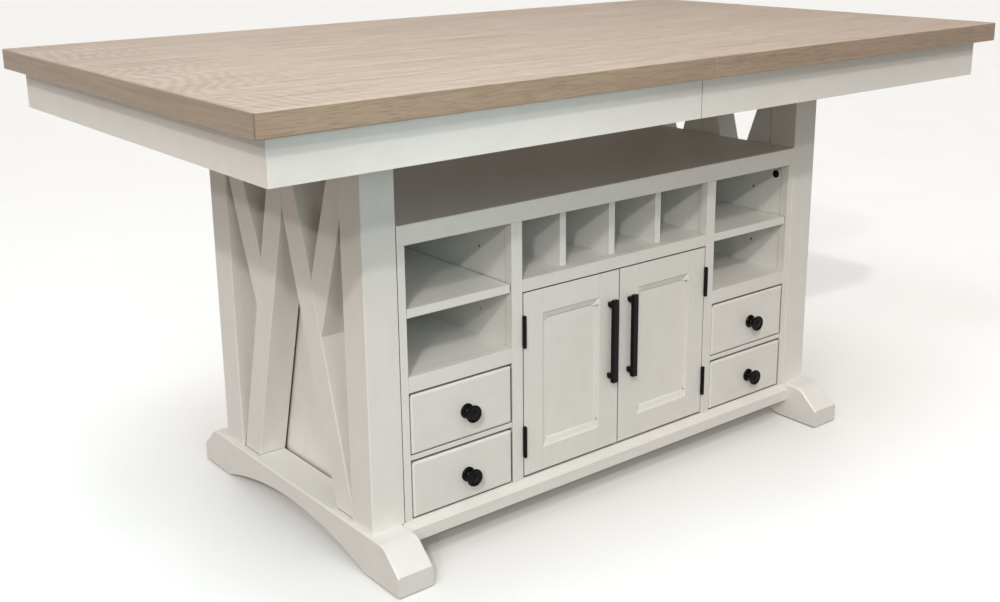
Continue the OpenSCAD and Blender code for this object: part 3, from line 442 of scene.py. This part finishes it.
def sun_light(name, place, strength, width, colour, gloss=True):
    """Distant lamp that shines from the direction of place and is width degrees wide. Without gloss, it
    isn't seen in reflections."""
    data = bpy.data.lights.new(name, "SUN")
    data.energy = strength
    data.angle = math.radians(width)
    data.color = colour
    lamp = add_object(name, data)
    lamp.rotation_euler = Vector(place).to_track_quat("Z", "Y").to_euler()
    lamp.visible_glossy = gloss


def area_light(name, place, target, size, power, colour, spread=180):
    """Soft box at a place, turned to a target, out of the camera's sight. A spread under 180 degrees
    narrows its beam."""
    data = bpy.data.lights.new(name, "AREA")
    data.shape = "RECTANGLE"
    data.size, data.size_y = size
    data.energy = power
    data.spread = math.radians(spread)
    data.color = colour
    lamp = add_object(name, data)
    lamp.location = place
    lamp.rotation_euler = (Vector(target) - Vector(place)).to_track_quat("-Z", "Y").to_euler()
    lamp.visible_camera = False


def room_light():
    """Light of the room in which the island was photographed, matched to the brightness of its faces."""
    # Wide glows from the ceiling, from behind and from the right
    sun_light("ceiling_glow", place=(0, 0, 1), strength=1.25, width=50, colour=SKY)
    sun_light("back_glow", place=(0.6, 1.0, 0.55), strength=0.80, width=50, colour=NEUTRAL, gloss=False)
    sun_light("right_glow", place=(1.0, -0.1, 0.5), strength=0.50, width=50, colour=NEUTRAL, gloss=False)
    # Narrower lamps, which draw the edges of the worktop's shadow
    sun_light("lamp_front", place=(-0.926, -0.926, 1), strength=0.74, width=2.0, colour=WARM)
    sun_light("lamp_low", place=(-1.55, -1.38, 1), strength=0.54, width=2.5, colour=WARM)
    sun_light("lamp_side", place=(-1.0, -0.3, 1), strength=0.36, width=15, colour=(0.95, 0.95, 1.0))
    # Weak wide glows that come in low from the left and the front
    sun_light("wall_glow", place=(-1.0, 0.5, 0.1), strength=0.28, width=40, colour=(1.0, 0.74, 0.60))
    sun_light("front_glow", place=(0.1, -1.0, 0.2), strength=0.24, width=50, colour=(1.0, 0.945, 0.90))
    # Soft boxes round the near left corner, over the middle and at the left bay
    area_light("left_box", place=(-2.2, -1.6, 2.3), target=(-0.7, -0.1, 0.7), size=(0.9, 0.9), power=9.5,
               colour=(1.0, 0.88, 0.82))
    area_light("top_box", place=(-1.3, -0.4, 2.5), target=(-0.8, -0.1, 0.8), size=(1.2, 1.2), power=21.0,
               colour=(0.70, 0.93, 1.0))
    area_light("corner_box", place=(-1.5, -3.0, 1.3), target=(-0.9, -0.3, 0.5), size=(0.8, 0.8), power=8.2,
               colour=(0.86, 1.0, 0.95))
    area_light("middle_box", place=(-0.2, -1.6, 2.4), target=(0, -0.2, 0.6), size=(1.6, 1.0), power=9.5,
               colour=(1.0, 0.92, 0.88))
    area_light("near_box", place=(-0.62, -1.45, 1.0), target=(-0.53, -0.3, 0.68), size=(0.5, 0.4), power=0.62,
               colour=(0.66, 0.93, 1.0), spread=90)


def studio_air():
    """Low even light from all round."""
    world = bpy.data.worlds.new("studio_air")
    world.use_nodes = True
    air = world.node_tree.nodes["Background"]
    air.inputs["Color"].default_value = (1.0, 0.89, 0.78, 1.0)
    air.inputs["Strength"].default_value = 0.20
    scene.world = world


# --- Camera --------------------------------------------------------------------

# Solved from the photograph, in radians: from +Y towards +X, downwards, and round the line of sight
CAMERA_AZIMUTH, CAMERA_DIP, CAMERA_ROLL = 0.6712, 0.2660, -0.0105
CAMERA_PLACE = Vector((-1.6860, -2.0200, 1.1809))
# Both in widths of the photograph, whose middle isn't on the line of sight, because it is cropped
FOCAL_LENGTH, FRAME_SHIFT = 1.2477, -0.0582
SENSOR_WIDTH = 36.0
# How far the camera sees, which is past the backdrop
CAMERA_SIGHT = 200.0


def photo_camera():
    """The photograph's camera."""
    forward = Vector((math.cos(CAMERA_DIP) * math.sin(CAMERA_AZIMUTH),
                      math.cos(CAMERA_DIP) * math.cos(CAMERA_AZIMUTH),
                      -math.sin(CAMERA_DIP)))
    level_right = forward.cross(Vector((0, 0, 1))).normalized()
    level_up = level_right.cross(forward)
    right = level_right * math.cos(CAMERA_ROLL) + level_up * math.sin(CAMERA_ROLL)
    up = level_up * math.cos(CAMERA_ROLL) - level_right * math.sin(CAMERA_ROLL)
    data = bpy.data.cameras.new("photo_camera")
    data.sensor_width = SENSOR_WIDTH
    data.lens = FOCAL_LENGTH * SENSOR_WIDTH
    data.shift_y = FRAME_SHIFT
    data.clip_end = CAMERA_SIGHT
    camera = add_object("photo_camera", data)
    turned = Matrix((right, up, -forward)).transposed().to_4x4()
    camera.matrix_world = Matrix.Translation(CAMERA_PLACE) @ turned
    scene.camera = camera


studio_floor()
studio_backdrop()
room_light()
studio_air()
photo_camera()
scene.view_settings.view_transform = "Standard"
scene.view_settings.look = "None"
